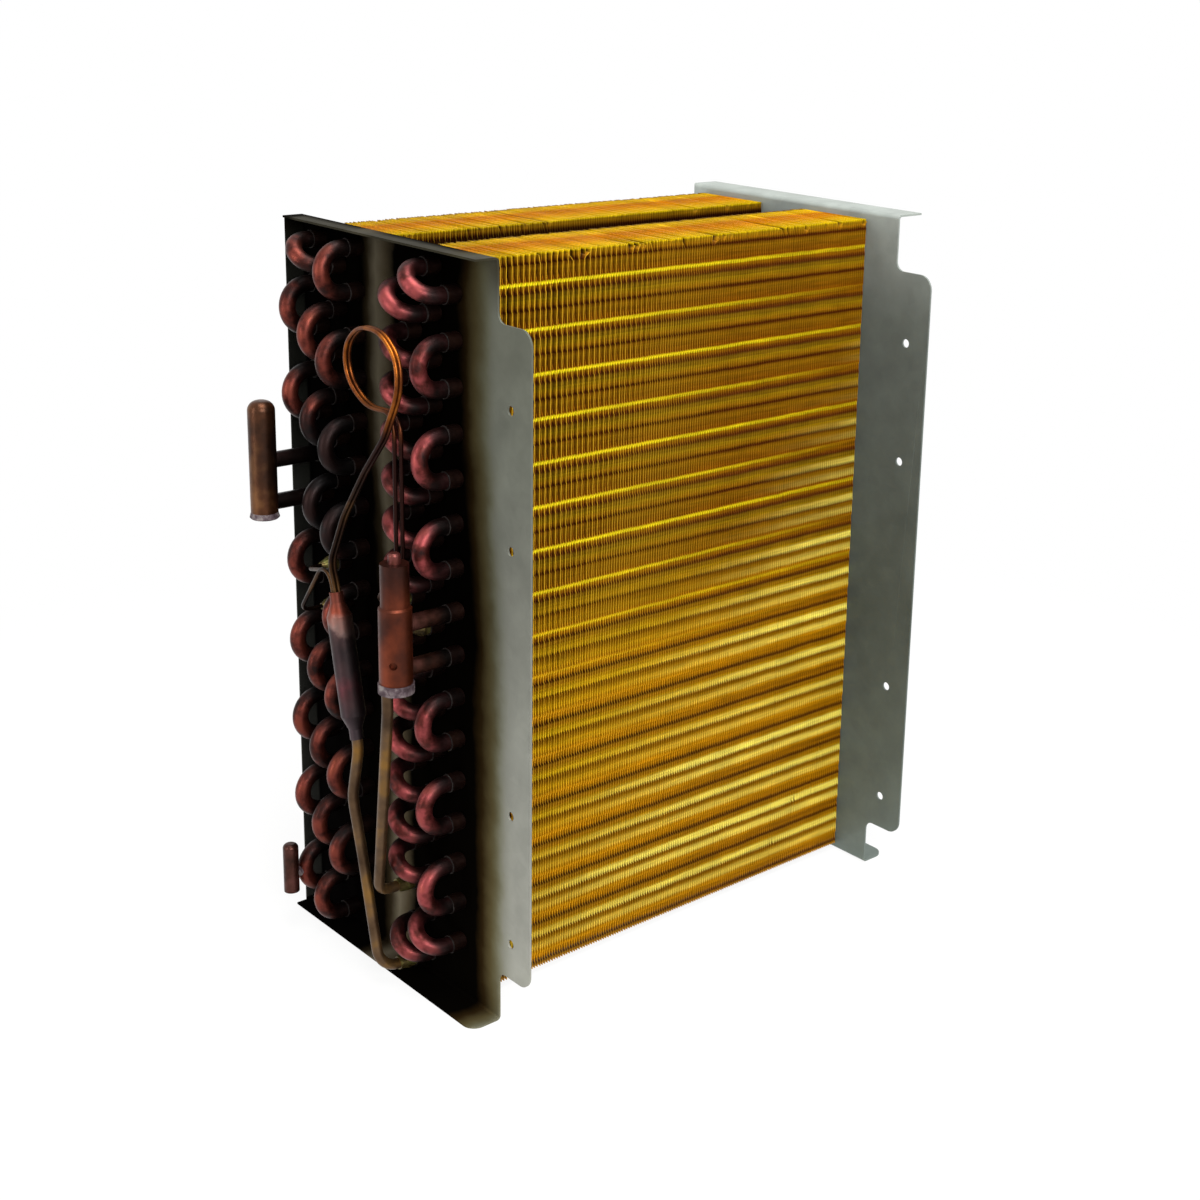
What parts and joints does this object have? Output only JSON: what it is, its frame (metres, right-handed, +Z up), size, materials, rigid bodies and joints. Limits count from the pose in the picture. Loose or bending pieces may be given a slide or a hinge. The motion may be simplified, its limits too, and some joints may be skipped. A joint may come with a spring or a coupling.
{
  "type": "evaporator coil",
  "caption": "Finned evaporator coil with two slabs of fins between folded tube sheets, copper return bends, suction headers and capillary feeds.",
  "frame": {"origin": "under the left foot: middle of its width, on the ground, in the plane of the fins' front edges", "axes": "+X along the tubes from the return bends to the hairpin bows, +Y from the front slab to the rear slab, +Z up"},
  "size_m": [0.3856, 0.2202, 0.441],
  "materials": {
    "bend_copper": "oxidised pinkish copper",
    "capillary_copper": "bright orange copper",
    "feed_copper": "spun copper, dulled",
    "fin_aluminium": "bare fins with a gold coating, satin",
    "front_header_copper": "drawn copper, heat stained",
    "hairpin_copper": "drawn copper tube, dulled",
    "left_sheet_steel": "galvanised sheet, dull",
    "nub_copper": "pinched copper",
    "pipe_copper": "drawn copper, golden brown",
    "rear_header_copper": "drawn copper, browned",
    "right_sheet_steel": "galvanised sheet, dull",
    "solder_grey": "silver brazing alloy, dull",
    "strainer_copper": "spun copper, dulled",
    "stub_copper": "drawn copper, dulled"
  },
  "bodies": {
    "root": {"bend_front_low": "bend_copper", "bend_front_top": "bend_copper", "bend_rear_top": "bend_copper", "bends_front_row_1": "bend_copper", "bends_front_slant": "bend_copper", "bends_rear_row_1": "bend_copper", "bends_rear_row_2": "bend_copper", "bends_rear_row_3": "bend_copper", "capillary_front_high": "capillary_copper", "capillary_front_low": "capillary_copper", "capillary_rear_high": "capillary_copper", "capillary_rear_low": "capillary_copper", "fin_pack_front": "fin_aluminium", "fin_pack_rear": "fin_aluminium", "front_feed_high": "feed_copper", "front_feed_low": "feed_copper", "front_header": "front_header_copper", "front_header_collar": "solder_grey", "front_outlet_nub": "nub_copper", "front_suction_outlet": "front_header_copper", "front_suction_stub_high": "stub_copper", "front_suction_stub_low": "stub_copper", "hairpin_front_bottom": "hairpin_copper", "hairpin_rear_bottom": "hairpin_copper", "hairpins_front_row_1": "hairpin_copper", "hairpins_front_row_2": "hairpin_copper", "hairpins_front_row_3": "hairpin_copper", "hairpins_rear_row_1": "hairpin_copper", "hairpins_rear_slant": "hairpin_copper", "liquid_inlet_pipe": "pipe_copper", "liquid_inlet_reducer": "feed_copper", "liquid_line": "pipe_copper", "liquid_outlet_reducer": "feed_copper", "process_saddle": "solder_grey", "process_stub": "stub_copper", "rear_feed_high": "feed_copper", "rear_feed_low": "feed_copper", "rear_header": "rear_header_copper", "rear_header_cap": "solder_grey", "rear_suction_stub_high": "stub_copper", "rear_suction_stub_low": "stub_copper", "strainer": "strainer_copper", "tube_sheet_left": "left_sheet_steel", "tube_sheet_right": "right_sheet_steel"}
  },
  "joints": []
}
